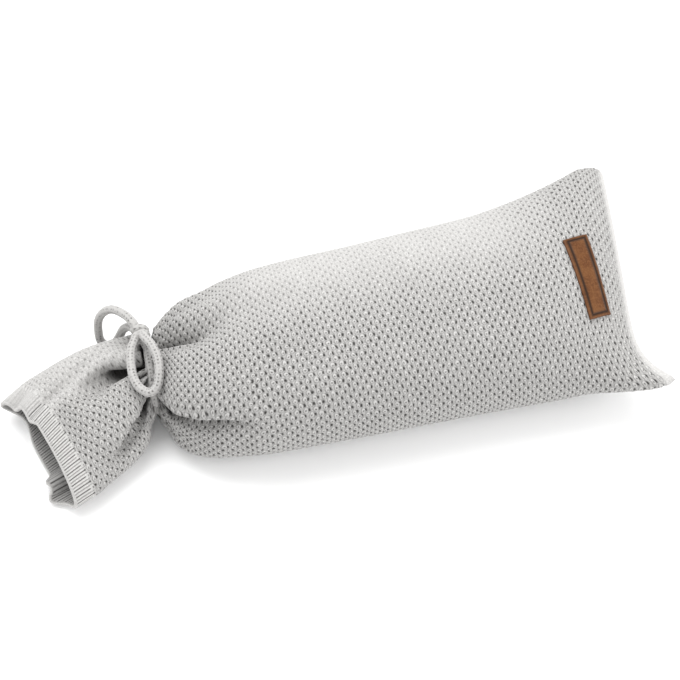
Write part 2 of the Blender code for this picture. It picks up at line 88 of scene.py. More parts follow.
# The folds that run out from the tie. u is the place round the cloth: 0 is the top, 0.25 the front
# (-Y), 0.5 the underside and 0.75 the back. Columns:
#   u_tie, depth, width       at the tie
#   skew                      over 0, the side towards larger u is the steeper one
#   u_body, reach, swell      where it points on the body, where it dies out, how much it deepens on the way
#   u_frill, frill_reach, frill_swell   the same towards the hem
FOLDS = (
    # name          u_tie depth width skew  u_body reach swell u_frill frill_reach frill_swell
    ("back_top", 0.925, 5.0, 0.028, 0.0, 0.945, 90.0, 20.0, 0.900, 24.0, 0.0),
    ("top_crease", 0.978, 3.4, 0.025, 0.4, 0.975, 48.0, 30.0, 0.985, 12.0, 0.0),
    ("valley", 0.998, 4.4, 0.033, 0.0, 0.050, 12.0, 0.0, 0.966, 54.0, 50.0),
    ("inner", 0.064, 3.4, 0.024, 0.0, 0.064, 10.0, 0.0, 0.064, 9.0, 0.0),
    ("inner_low", 0.115, 3.4, 0.020, 0.0, 0.115, 10.0, 0.0, 0.100, 12.0, 0.0),
    ("front_crease", 0.180, 2.8, 0.036, -0.6, 0.190, 60.0, 42.0, 0.170, 10.0, 0.0),
    ("frill_edge", 0.150, 0.0, 0.036, -0.6, 0.150, 10.0, 0.0, 0.192, 64.0, 36.0),
    ("front_low", 0.265, 3.6, 0.026, -0.3, 0.255, 40.0, 18.0, 0.300, 24.0, 0.0),
    ("low_pleat", 0.355, 2.4, 0.022, 0.0, 0.350, 20.0, 0.0, 0.350, 24.0, 0.0),
    ("tongue", 0.425, 1.4, 0.024, 0.0, 0.410, 26.0, 0.0, 0.390, 200.0, 34.0),
    ("under", 0.500, 0.4, 0.024, 0.0, 0.500, 26.0, 0.0, 0.500, 40.0, 0.0),
    ("back_low", 0.590, 3.0, 0.024, 0.0, 0.600, 34.0, 8.0, 0.620, 60.0, 4.0),
    ("back", 0.680, 3.5, 0.024, 0.0, 0.680, 46.0, 14.0, 0.690, 50.0, 6.0),
    ("back_high", 0.770, 3.5, 0.024, 0.0, 0.760, 40.0, 12.0, 0.780, 70.0, 12.0),
    ("back_pleat", 0.850, 4.0, 0.022, 0.0, 0.850, 56.0, 12.0, 0.850, 30.0, 4.0),
    ("front_lobe", 0.095, 0.0, 0.060, 0.0, 0.100, 60.0, -14.0, 0.050, 90.0, -10.0),
    ("hem_fold", 0.880, 0.0, 0.016, 0.0, 0.880, 10.0, 0.0, 0.903, 220.0, 13.0),
)
FOLD_WIDENS = 0.6  # how much wider a fold is where it dies out
FOLD_TURNS_BY = 0.45  # the part of its reach in which a fold swings over to where it points
FOLD_FADES = 1.2  # the power by which a fold runs out
SKEW_SHARE = 0.6  # how much of a side's width a skew of 1 takes

# Where the hem wavers. Columns: u, width, how far it runs out beyond the rest, how far it dips in.
HEM = (
    # u    width  out  dip
    (0.352, 0.032, 8.0, 0.0),
    (0.402, 0.022, 6.0, 0.0),
    (0.660, 0.060, -4.0, 0.0),
    (0.803, 0.028, 1.0, 6.0),
    (0.880, 0.050, 2.0, 0.0),
)
HEM_FROM = -60.0  # along the bag, where the hem's shape begins

# Creases too narrow for the folds above, pressed into both faces of the cloth. Each runs through
# places (along, u), from the tie outwards. A steep side over 0 is the one towards larger u. An overlap
# over 0 is how far the cloth on the side of smaller u lies over the crease, under 0 the other side's.
CREASES = (
    # half_width depth steep overlap, places
    (3.6, 10.0, -0.3, 4.0, ((0.0, 0.012), (-8.0, 0.984), (-14.0, 0.961), (-22.0, 0.942), (-31.0, 0.934))),
    (5.0, 3.0, -0.4, 0.0, ((-14.0, 0.954), (-26.0, 0.940), (-38.0, 0.940), (-54.0, 0.955))),
    (5.2, 7.0, -0.8, 3.8, ((3.0, 0.190), (-6.0, 0.160), (-14.0, 0.150), (-26.0, 0.148), (-56.0, 0.225))),
    (
        5.2, 7.5, -0.8, 3.8,
        ((-2.0, 0.240), (5.0, 0.205), (13.0, 0.172), (25.0, 0.163), (40.0, 0.173), (70.0, 0.205)),
    ),
    (2.4, 3.0, -0.4, 0.0, ((4.0, 0.300), (13.8, 0.280), (20.0, 0.284), (30.0, 0.295))),
    (3.0, 5.5, 0.4, -2.6, ((-2.0, 0.955), (6.0, 0.948), (20.0, 0.950), (42.0, 0.955))),
    (1.6, 4.0, 0.0, 0.0, ((-11.0, 0.968), (-5.0, 0.985), (2.0, 0.005), (9.0, 0.010))),
    (1.7, 5.0, 0.0, 1.6, ((-12.0, 0.020), (-5.0, 0.030), (2.0, 0.045), (10.0, 0.050))),
    (1.7, 5.0, 0.0, 1.6, ((-12.0, 0.055), (-5.0, 0.072), (2.0, 0.085), (10.0, 0.085))),
    (1.6, 4.0, 0.0, 0.0, ((-10.0, 0.100), (-4.0, 0.118), (3.0, 0.125), (12.0, 0.120))),
    (3.0, 1.4, 0.4, 0.0, ((-30.0, 0.872), (-49.0, 0.905), (-66.0, 0.900), (-90.0, 0.893))),
)
CREASE_FADES = (0.15, 0.6)  # of its length, at the tie's end and at its far end
LIP_AT = 1.3  # of a side's width, from the crease to the middle of the cloth that lies over it
LIP_WIDTH = 1.1
DEEPEST = 9.0  # mm, the depth at which a crease's painted shade is at its darkest

# The tie pinches the neck into a groove.
PINCH_DEPTH = 6.4
PINCH_HALF_WIDTH = 3.4
# Gathers at both sides of the groove that lean over it. Columns: along, reach, u, width, height, overlap.
LIPS = (
    (-6.0, 3.0, 0.300, 0.100, 3.0, 4.6),
    (6.0, 3.0, 0.300, 0.100, 3.0, 4.6),
    (-6.0, 3.0, 0.090, 0.160, 2.4, 4.6),
    (6.0, 3.0, 0.090, 0.160, 2.4, 4.6),
)
OVERLAP_REACH = 1.7

# Fine pleats round the neck
NECK_PLEATS = 23
NECK_PLEAT_SWAY = 0.012  # of the way round
NECK_PLEAT_SWAY_OVER = 5.0  # mm along the bag
NECK_PLEAT_DEPTH = 1.9
NECK_PLEAT_REACH = 11.0
# how much painted shade the pleats' hollows get
NECK_PLEAT_SHADE = 0.75

# The part's origin is under the middle of the bag. The tables measure from the tie instead.
TIE_AT = (-105.5, -7.6)

# The tie is a soft round cord. It goes once round the neck, and two loops of a bow leave its knot.
CORD_DIAMETER = 5.4
ROUTE_STEPS = 16  # fine steps between two points of a route
KNOT_AT = (-1.8, 27.0, 43.4)
KNOT_TURN_RADII = (3.4, 2.9)  # of the turns' middle lines, along X and up
KNOT_TURNS = ((-2.2, 8.0, 1.0), (2.6, -10.0, 0.8))  # each turn's place to the back, its lean and its size
WRAP_AT = (0.6, 13.8, 21.2)  # this and the next two are tighter than the part's
WRAP_HALF_WIDTH = 26.4
WRAP_HALF_HEIGHT = 15.6
WRAP_TURN = -3.5  # degrees about Z
WRAP_OPENS_AT = 0.923  # where round the neck the wrap goes into the knot
WRAP_POINTS = 40
WRAP_OPENS_BY = 0.036  # how much of the way round the knot takes up, to each side

WRAP_ENDS = ((-0.8, 25.2, 40.6), (-1.0, 28.8, 39.6))  # where it runs on inside the knot

# Middle lines of the two loops, from the tie: each leaves the knot and comes back.
FRONT_LOOP = (
    (-5.8, 21.4, 45.8),
    (-8.4, 16.6, 46.2),
    (-10.4, 8.6, 45.8),
    (-11.0, -1.0, 45.0),
    (-8.8, -9.2, 44.4),
    (-3.6, -13.8, 44.0),
    (1.4, -12.0, 46.0),
    (4.4, -4.8, 49.4),
    (5.0, 4.2, 51.2),
    (3.2, 13.4, 51.4),
    (0.4, 20.2, 49.4),
)
FRONT_LOOP_ENDS = ((-3.2, 26.4, 43.8), (-1.0, 26.0, 45.0))
BACK_LOOP = (
    (-4.6, 33.4, 46.2),
    (-7.4, 39.4, 45.4),
    (-11.9, 46.2, 42.2),
    (-16.2, 51.0, 37.4),
    (-20.6, 53.6, 31.0),
    (-23.8, 53.6, 24.0),
    (-25.2, 52.0, 15.0),
    (-25.0, 49.0, 7.0),
    (-21.0, 46.8, 3.2),
    (-16.2, 46.0, 7.0),
    (-13.4, 45.2, 14.0),
    (-10.6, 43.4, 24.0),
    (-7.4, 40.0, 32.0),
    (-4.8, 35.0, 37.2),
)
BACK_LOOP_ENDS = ((-2.8, 28.4, 44.4), (-2.4, 29.4, 41.2))

# The leather label, sewn on top of the bag near its sewn end, across the bag and a little askew.
LABEL_LENGTH = 54.0
LABEL_WIDTH = 15.0
LABEL_THICKNESS = 1.4
LABEL_ALONG = 263.5
LABEL_U = 0.041
LABEL_SLANT = 7.0  # degrees
LABEL_COLUMNS = 72
LABEL_ROWS = 20
LABEL_CLEARANCE = 0.35
LABEL_SLOPE_STEP = 1.0  # along the bag, between the points that the cloth's slope is read from

# The knit. Its columns of stitches run along the bag.
KNIT_COLUMNS = 96
POINTS_PER_COLUMN = 3
# Where the columns lie round the frill, whose spare cloth is bunched underneath. Columns: the share
# of the columns, the place round the cloth.
FRILL_SPREAD = (
    (-0.065, -0.170),
    (0.115, 0.115),
    (0.295, 0.400),
    (0.455, 0.508),
    (0.615, 0.615),
    (0.775, 0.722),
    (0.935, 0.830),
    (1.115, 1.115),
)
FRILL_SPREAD_BY = -22.0  # along the bag, from the tie, where they are all there
HEM_RIBS = 108  # evenly round the hem, every other one stronger
POINTS_ROUND = KNIT_COLUMNS * POINTS_PER_COLUMN
RINGS_PER_STITCH = 4
BODY_STITCH = 5.1  # mm along the bag
FRILL_STITCH = 5.0
HEM_STITCH = 13.0  # the ribs run straight, so rings can be far apart
HEM_LENGTH = 13.5
INNER_FINE_RINGS = 5  # rings of the inside, from the hem, that are as fine as the outside
INNER_CLEARS = 6  # rings and points round it that the coarse inside stays below
INSIDE_SHADE = 0.55  # painted shade all over the inside, as a share of a deepest crease's
INNER_RING_STEP = 12.0  # mm between the rest of the inside's rings
HOLE_DEPTH = 1.0
HOLE_LONG = 0.30  # of a column
HOLE_WIDE = 0.115  # of a stitch
HOLE_SLANT = -0.06  # of a stitch, that a hole leans over one column
# Size of the painted shade in the holes: its width of a stitch, its length of a column
PAINTED_HOLE_WIDE = 0.095
PAINTED_HOLE_LONG = (0.24, 0.08)  # on the frill, and how much more on the body
PLACE_STRAYS = ((430.0, 0.35), (370.0, 0.28))  # noise and amount, in columns and in stitches
BEAD_AT = 0.37  # of a stitch, from a hole back to the middle of the bead of yarn beside it
BEAD_HEIGHT = 0.22
BEAD_LONG = 0.27  # of a stitch
BEAD_WIDE = 0.56  # of a column
SHUT_HOLES = 0.40  # how open the holes are on the slack back of the bag. Their painted shade is lighter there too, as light falls on the bag's top and back
SLACK_FRILL = (0.660, 0.975)  # round the cloth, where the frill's holes are shut
SLACK_FADES = 0.045
SLACK_REACH = 92.0  # mm from the hem
FRILL_SHUT = 0.50  # how far they are shut
OPEN_AFTER = 95.0  # mm from the hem. The gathered cloth before it has all its holes open.
OPEN_END = 70.0  # mm from the sewn end, where they open again
SMOOTH_HEM = (0.740, 0.975)  # of the columns, whose ribs are pressed flat
PLAIN_END = 9.0  # mm of smooth cloth at the sewn end
HEM_BULGE = 0.8  # how far the hem's rounded edge stands out

# The cord's own knit
CORD_COLUMNS = 7
CORD_STITCH = 2.1  # mm
CORD_POINTS_ROUND = 28
CORD_RING_STEP = 0.42
CORD_RIDGE = 0.22
CORD_GROOVE = 0.12
CORD_ARM = 0.9  # stitches that an arm of one slants over half a column

# Colours of the yarn, linear
YARN_DARK = (0.40, 0.392, 0.382)
YARN_LIGHT = (0.510, 0.502, 0.490)
YARN_FUZZ = (0.60, 0.592, 0.58)

# Painted shade, linear: in the knit's holes and recesses, in creases and inside the bag, and in the cord's
# gaps
HOLE_SHADE_COLOUR = (0.045, 0.043, 0.04)
CREASE_SHADE_COLOUR = (0.02, 0.018, 0.016)
CREASE_SHADE_PAINT = 0.94  # how much of a deepest crease gets painted shade of that colour
CORD_GAP_SHADE_COLOUR = (0.075, 0.071, 0.067)

# Colours of the leather, linear
TAN_DARK = (0.094, 0.032, 0.008)
TAN_LIGHT = (0.134, 0.052, 0.015)
TAN_GRAIN = (0.21, 0.089, 0.032)
TAN_RIM = (0.085, 0.032, 0.014)
TAN_BURNT = (0.016, 0.006, 0.002)

# The leather label's border, burnt in
BORDER_INSET = 2.3
BORDER_WIDTH = 2.0

# The photo's view: the tie's middle falls on a pixel of it
IMAGE_SIZE = 680
VIEW_AZIMUTH = -12.8
VIEW_ELEVATION = 60.0
VIEW_DISTANCE = 1400.0
PIXEL_MM = 0.6
TIE_MIDDLE = (0.0, 12.0, 22.0)
TIE_PIXEL = (150.0, 372.0)
SENSOR = 36.0

# The stage, in metres and watts. Lights: name, place, size, power.
FLOOR_HALF = 3.0
LIGHTS = (
    ("key", (-0.2, 0.8, 1.4), 1.6, 24.0),
    ("fill", (1.3, -0.9, 0.9), 1.2, 13.5),
)
STUDIO_LIGHT = 0.99

# ------------------------------------------------------------------------------------------------
# The bag's surface
# ------------------------------------------------------------------------------------------------


def column(name):
    """One column of SECTIONS."""
    return np.array([row[COLUMNS.index(name)] for row in SECTIONS])


def smooth_through(places, values, at):
    """A smooth curve through a table's values that never swings past them (monotone cubic)."""
    gaps = np.diff(places)
    slopes = np.diff(values) / gaps
    tangents = np.zeros(len(values))
    same_way = slopes[:-1] * slopes[1:] > 0.0
    near, far = slopes[:-1][same_way], slopes[1:][same_way]
    tangents[1:-1][same_way] = 2.0 * near * far / (near + far)
    tangents[0], tangents[-1] = slopes[0], slopes[-1]
    span = np.clip(np.searchsorted(places, at, side="right") - 1, 0, len(gaps) - 1)
    t = (at - places[span]) / gaps[span]
    return (
        (2 * t**3 - 3 * t**2 + 1) * values[span]
        + (t**3 - 2 * t**2 + t) * gaps[span] * tangents[span]
        + (3 * t**2 - 2 * t**3) * values[span + 1]
        + (t**3 - t**2) * gaps[span] * tangents[span + 1]
    )


def section_at(along):
    """The oval at one place along the bag, as a dict of SECTIONS' columns."""
    places = column("along")
    return {name: float(smooth_through(places, column(name), along)) for name in COLUMNS}


def ease(t):
    """0 at 0 and 1 at 1, level at both ends."""
    t = np.clip(t, 0.0, 1.0)
    return t * t * (3.0 - 2.0 * t)


def fold_depth(along, u):
    """How far the folds draw the cloth in, at one place along the bag and at places u round it."""
    total = np.zeros_like(u)
    for _, u_tie, depth, width, skew, *ways in FOLDS:
        u_far, reach, swell = ways[:3] if along >= 0.0 else ways[3:]
        gone = min(abs(along) / reach, 1.0)
        swing = (u_far - u_tie + 0.5) % 1.0 - 0.5
        centre = u_tie + swing * ease(gone / FOLD_TURNS_BY)
        deep = (depth + swell * gone) * (1.0 - gone) ** FOLD_FADES
        wide = width * (1.0 + FOLD_WIDENS * gone)
        away = (u - centre + 0.5) % 1.0 - 0.5
        side = np.where(away > 0.0, 1.0 - SKEW_SHARE * skew, 1.0 + SKEW_SHARE * skew)
        total += deep * np.exp(-((away / (wide * side)) ** 2))
    return total


def hem_sum(along, u, name):
    """One column of HEM, "out" or "dip", summed at one place along the bag and at places u round it."""
    near_hem = ease((along - HEM_FROM) / (SECTIONS[0][0] - HEM_FROM))
    total = np.zeros_like(u)
    for at, width, out, dip in HEM:
        total += (out if name == "out" else dip) * near_hem * np.exp(-(((u - at) / width) ** 2))
    return total


def oval(section, u):
    """Points and outward directions at u round one oval: across the bag (+ to the front) and up."""
    angle_from_top = np.linspace(0.0, 2.0 * np.pi, OVAL_STEPS + 1)
    sideways, upward = np.sin(angle_from_top), np.cos(angle_from_top)
    half_height = (section["top"] - section["low"]) / 2.0
    middle = (section["top"] + section["low"]) / 2.0
    across = section["half_width"] * np.sign(sideways) * np.abs(sideways) ** (2.0 / section["power"])
    up = middle + half_height * np.sign(upward) * np.abs(upward) ** (2.0 / section["power"])
    up = np.maximum(up, CLOTH_THICKNESS / 2.0)
    steps = np.hypot(np.diff(across), np.diff(up))
    run = np.concatenate([[0.0], np.cumsum(steps)]) / steps.sum()

    def at(places):
        return np.stack([np.interp(places % 1.0, run, across), np.interp(places % 1.0, run, up)], axis=-1)

    way = at(u + SLOPE_STEP) - at(u - SLOPE_STEP)
    outward = np.stack([-way[:, 1], way[:, 0]], axis=-1)
    outward /= np.linalg.norm(outward, axis=1)[:, None]
    return at(u), outward, middle


def bag_ring(along, u):
    """The middle of the cloth at places u round the bag, and the height of the oval's middle."""
    section = section_at(along)
    flat, outward, middle = oval(section, u)
    flat = flat - outward * (fold_depth(along, u) + hem_sum(along, u, "dip"))[:, None]
    flat[:, 1] = np.maximum(flat[:, 1], CLOTH_THICKNESS / 2.0)
    turn = np.radians(section["turn"])
    bow = np.where(flat[:, 0] > 0.0, section["front_bow"], section["back_bow"])
    ahead = bow * np.abs(flat[:, 0] / section["half_width"]) ** BOW_POWER
    ahead += section["lean"] * (flat[:, 1] - section["low"]) / (section["top"] - section["low"])
    ahead -= hem_sum(along, u, "out")
    x = section["x"] + flat[:, 0] * np.sin(turn) + ahead * np.cos(turn)
    y = section["y"] - flat[:, 0] * np.cos(turn) + ahead * np.sin(turn)
    return np.stack([x, y, flat[:, 1]], axis=-1), middle


def bag_surface(alongs, u):
    """Rings of the cloth's middle surface and their outward normals. u is one row, or one for each ring."""
    rows = np.broadcast_to(u, (len(alongs), u.shape[-1]))
    rings = [bag_ring(along, row) for along, row in zip(alongs, rows)]
    points = np.array([ring for ring, _ in rings])
    middles = np.array([middle for _, middle in rings])
    down_bag = np.gradient(points, axis=0)
    round_bag = np.roll(points, -1, axis=1) - np.roll(points, 1, axis=1)
    normals = np.cross(round_bag, down_bag)
    normals /= np.linalg.norm(normals, axis=2)[:, :, None]
    return points, normals, middles


def keep_layers_apart(inside, middle_surface, middles):
    """Inside the pillow corners the top and under layers close in on each other, but never cross."""
    level = middles[:, None]
    above = middle_surface[:, :, 2] - level
    least = np.minimum(np.abs(above), SEAM_GAP / 2.0)
    kept = np.where(above >= 0.0, np.maximum(inside[:, :, 2] - level, least), 0.0)
    kept = np.where(above < 0.0, np.minimum(inside[:, :, 2] - level, -least), kept)
    inside = inside.copy()
    inside[:, :, 2] = kept + level
    return inside


def smooth_route(route, spacing):
    """Evenly spaced points on a smooth curve through the route's own points (Catmull-Rom)."""
    knots = np.array(route)
    padded = np.concatenate([[2 * knots[0] - knots[1]], knots, [2 * knots[-1] - knots[-2]]])
    fine = []
    for a, b, c, d in zip(padded[:-3], padded[1:-2], padded[2:-1], padded[3:]):
        for t in np.linspace(0.0, 1.0, ROUTE_STEPS, endpoint=False):
            bend = (2 * a - 5 * b + 4 * c - d) * t**2 + (3 * b - a - 3 * c + d) * t**3
            fine.append((2 * b + (c - a) * t + bend) / 2.0)
    fine = np.array(fine + [knots[-1]])
    run = np.concatenate([[0.0], np.cumsum(np.linalg.norm(np.diff(fine, axis=0), axis=1))])
    stops = np.linspace(0.0, run[-1], int(round(run[-1] / spacing)) + 1)
    return np.stack([np.interp(stops, run, fine[:, axis]) for axis in range(3)], axis=-1)


def wrap_route():
    """The cord's way round the neck, bridging the folds, open where the knot takes it in."""
    start, stop = WRAP_OPENS_AT + WRAP_OPENS_BY, WRAP_OPENS_AT + 1.0 - WRAP_OPENS_BY
    angle = 2.0 * np.pi * np.linspace(start, stop, WRAP_POINTS)
    across, up = WRAP_HALF_WIDTH * np.sin(angle), WRAP_HALF_HEIGHT * np.cos(angle)
    turn = np.radians(WRAP_TURN)
    x, y, z = WRAP_AT
    return np.stack([x + across * np.sin(turn), y - across * np.cos(turn), z + up], axis=-1)


def in_frame(points):
    """Millimetres from the tie, as metres in the part's own frame."""
    return (np.asarray(points) + np.array((*TIE_AT, 0.0))) * MM


# ------------------------------------------------------------------------------------------------
# The knit's relief
# ------------------------------------------------------------------------------------------------


def stitch_places():
    """Places along the bag, four to a stitch, with the stitch count and the way from the hem at each."""
    fine = np.linspace(SECTIONS[0][0], SECTIONS[-1][0], 900)
    rings = np.array([bag_ring(along, np.arange(72) / 72)[0] for along in fine])
    steps = np.linalg.norm(np.diff(rings, axis=0), axis=2).mean(axis=1)
    travelled = np.concatenate([[0.0], np.cumsum(steps)])
    hem_end = float(np.interp(HEM_LENGTH, travelled, fine))
    pitch = np.interp(
        (fine[1:] + fine[:-1]) / 2.0,
        [hem_end - 1.0, hem_end, 0.0, 20.0],
        [HEM_STITCH, FRILL_STITCH, FRILL_STITCH, BODY_STITCH],
    )
    count = np.concatenate([[0.0], np.cumsum(steps / pitch)])
    stops = np.arange(0.0, count[-1], 1.0 / RINGS_PER_STITCH)
    stops[-1] = count[-1]
    return np.interp(stops, count, fine), stops, np.interp(stops, count, travelled)


def hole_at(columns, stitches):
    """1 in the middle of each hole of the knit, 0 between. Every other column is half a stitch on."""
    nearest = np.round(columns)
    across = columns - nearest
    offset = stitches + 0.5 * (nearest % 2.0) + HOLE_SLANT * across
    ahead = offset - np.round(offset)
    return np.exp(-((ahead / HOLE_WIDE) ** 2) - (across / HOLE_LONG) ** 2)


def bead_at(columns, stitches):
    """1 in the middle of each bead of yarn, 0 between."""
    nearest = np.round(columns)
    place = stitches + 0.5 * (nearest % 2.0) + BEAD_AT
    ahead = place - np.round(place)
    return np.exp(-((ahead / BEAD_LONG) ** 2) - ((columns - nearest) / BEAD_WIDE) ** 2)


def openness(columns, place_round, from_hem, from_end):
    """How open the holes are: stretched open over the bag's front, slack and shut towards its back."""
    turn = np.sin(2.0 * np.pi * columns / KNIT_COLUMNS)
    here = SHUT_HOLES + (1.0 - SHUT_HOLES) * ease((turn + 0.80) / 1.2)
    slack = ease((from_hem - OPEN_AFTER) / 90.0) * ease((from_end - 0.4 * OPEN_END) / OPEN_END)
    start, stop = SLACK_FRILL
    place = place_round % 1.0
    frill = ease((place - start) / SLACK_FADES) * ease((stop - place) / SLACK_FADES)
    frill = frill * ease((SLACK_REACH - from_hem) / 30.0) * FRILL_SHUT
    return (1.0 + (here - 1.0) * slack) * (1.0 - frill)


def places_round(alongs):
    """Places round the cloth of every point of every ring: even on the body, spread on the frill."""
    share = np.arange(POINTS_ROUND) / POINTS_ROUND
    at, place = np.array(FRILL_SPREAD).T
    wrapped = (share - at[0]) % 1.0 + at[0]
    spread = smooth_through(at, place, wrapped) + share - wrapped
    amount = ease(np.asarray(alongs) / FRILL_SPREAD_BY)[:, None]
    return share + (spread - share) * amount


def knit_relief(columns, place_round, stitches, from_hem, from_end):
    """How far the cloth's surface stands out from its middle lie, in mm."""
    in_body = ease((from_hem - HEM_LENGTH) / 3.0) * ease((from_end - 0.4 * PLAIN_END) / PLAIN_END)
    hole = HOLE_DEPTH * hole_at(columns, stitches) * openness(columns, place_round, from_hem, from_end)
    return (BEAD_HEIGHT * bead_at(columns, stitches) - hole) * in_body


def creased(alongs, u, girths):
    """How far creases press the cloth in, slide it round and along the bag, in mm, and how much painted shade
    they get.
    """
    inward, slid, ahead, painted_shade = (np.zeros(u.shape) for _ in range(4))
    for half_width, depth, steep, overlap, places in CREASES:
        start, stop = places[0][0], places[-1][0]
        way = sorted(places)
        turns = np.unwrap([place for _, place in way], period=1.0)
        centre = np.interp(alongs, [along for along, _ in way], turns)
        share = np.clip((alongs - start) / (stop - start), 0.0, 1.0)
        fade = (ease(share / CREASE_FADES[0]) * ease((1.0 - share) / CREASE_FADES[1]))[:, None]
        away = ((u - centre[:, None] + 0.5) % 1.0 - 0.5) * girths[:, None]
        side = np.where(away > 0.0, 1.0 - SKEW_SHARE * steep, 1.0 + SKEW_SHARE * steep)
        pressed = depth * fade * np.exp(-((away / (half_width * side)) ** 2))
        inward += pressed
        # Painted shade in the crease, by its depth
        painted_shade += pressed / DEEPEST
        if overlap:
            way_over = math.copysign(1.0, overlap)
            lip = half_width * (1.0 + way_over * SKEW_SHARE * steep)
            slid += overlap * fade * np.exp(-(((away + way_over * LIP_AT * lip) / (LIP_WIDTH * lip)) ** 2))
    sway = NECK_PLEAT_SWAY * np.sin(alongs / NECK_PLEAT_SWAY_OVER)
    pleat = 0.5 + 0.5 * np.cos(2.0 * np.pi * NECK_PLEATS * (u + sway[:, None]))
    for along, reach, place, width, height, overlap in LIPS:
        there = np.exp(-(((u - place + 0.5) % 1.0 - 0.5) / width) ** 2)
        inward -= height * there * np.exp(-(((alongs - along) / reach) ** 2))[:, None]
        leans = np.exp(-(((alongs - along) / OVERLAP_REACH) ** 2))[:, None]
        ahead -= math.copysign(overlap, along) * there * leans
    pinch = PINCH_DEPTH * np.exp(-((alongs / PINCH_HALF_WIDTH) ** 4))[:, None]
    inward += pinch
    # Painted shade in the groove under the tie
    painted_shade += pinch / DEEPEST
    near = np.exp(-((alongs / NECK_PLEAT_REACH) ** 2))[:, None]
    inward += NECK_PLEAT_DEPTH * pleat * near
    # Painted shade in the pleats' hollows
    painted_shade += NECK_PLEAT_SHADE * pleat * near
    return inward, slid, ahead, np.clip(painted_shade, 0.0, 1.0)


# ------------------------------------------------------------------------------------------------
# Meshes
# ------------------------------------------------------------------------------------------------


def around(depths, reach):
    """The greatest depth within a few rings and points of each."""
    most = depths.copy()
    for step in range(1, reach + 1):
        most = np.maximum(most, np.maximum(np.roll(depths, step, axis=1), np.roll(depths, -step, axis=1)))
    deepest = most.copy()
    for step in range(1, reach + 1):
        deepest[step:] = np.maximum(deepest[step:], most[:-step])
        deepest[:-step] = np.maximum(deepest[:-step], most[step:])
    return deepest


class Cloth:
    """Points and faces of a mesh whose faces carry measures for the materials."""

    def __init__(self):
        self.points, self.faces, self.knit, self.reach, self.turn = [], [], [], [], []
        self.count = 0

    def add_ring(self, points, columns, stitch, reach, turn=None, painted_shade=None):
        """A ring of points, with the painted shade at each. columns and turn have one more entry than points,
        for where the ring closes.
        """
        ring = {
            "first": self.count, "size": len(points), "columns": columns, "stitch": stitch, "reach": reach,
            "turn": columns if turn is None else turn,
            "painted_shade": np.zeros(len(points)) if painted_shade is None else painted_shade,
        }
        self.points.extend(points)
        self.count += len(points)
        return ring

    def face(self, corners):
        """One face through corners, each (ring, place round it)."""
        self.faces.append([ring["first"] + place % ring["size"] for ring, place in corners])
        self.knit.extend((ring["columns"][place], ring["stitch"]) for ring, place in corners)
        self.reach.extend(ring["reach"] for ring, _ in corners)
        # Each corner's place round the cloth and its painted shade
        self.turn.extend((ring["turn"][place], ring["painted_shade"][place % ring["size"]]) for ring, place in corners)

    def join(self, ring, next_ring, flip=False):
        """Faces between two rings. The second may have a third of the first's points."""
        share = ring["size"] // next_ring["size"]
        for place in range(next_ring["size"]):
            near = [(ring, place * share + k) for k in range(share + 1)]
            far = [(next_ring, place + 1), (next_ring, place)]
            corners = near + far
            self.face(corners[::-1] if flip else corners)

    def close(self, ring, flip=False):
        """Rungs across a flattened ring, from its top layer to the one under it."""
        size, half, quarter = ring["size"], ring["size"] // 2, ring["size"] // 4
        for place in range(-quarter, quarter):
            places = [place % size, (place + 1) % size, (half - place - 1) % size, (half - place) % size]
            places = list(dict.fromkeys(places))
            if len(places) > 2:
                corners = [(ring, k) for k in places]
                self.face(corners[::-1] if flip else corners)

    def build(self, name, material):
        mesh = bpy.data.meshes.new(name)
        mesh.from_pydata(in_frame(self.points).tolist(), [], self.faces)
        # The Turn layer also carries the painted shade
        for layer, values in (("Knit", self.knit), ("Reach", self.reach), ("Turn", self.turn)):
            uv = mesh.uv_layers.new(name=layer)
            uv.data.foreach_set("uv", np.array(values, dtype=np.float32).ravel())
        mesh.shade_smooth()
        mesh.materials.append(material)
        made = bpy.data.objects.new(name, mesh)
        bpy.context.collection.objects.link(made)
        return made


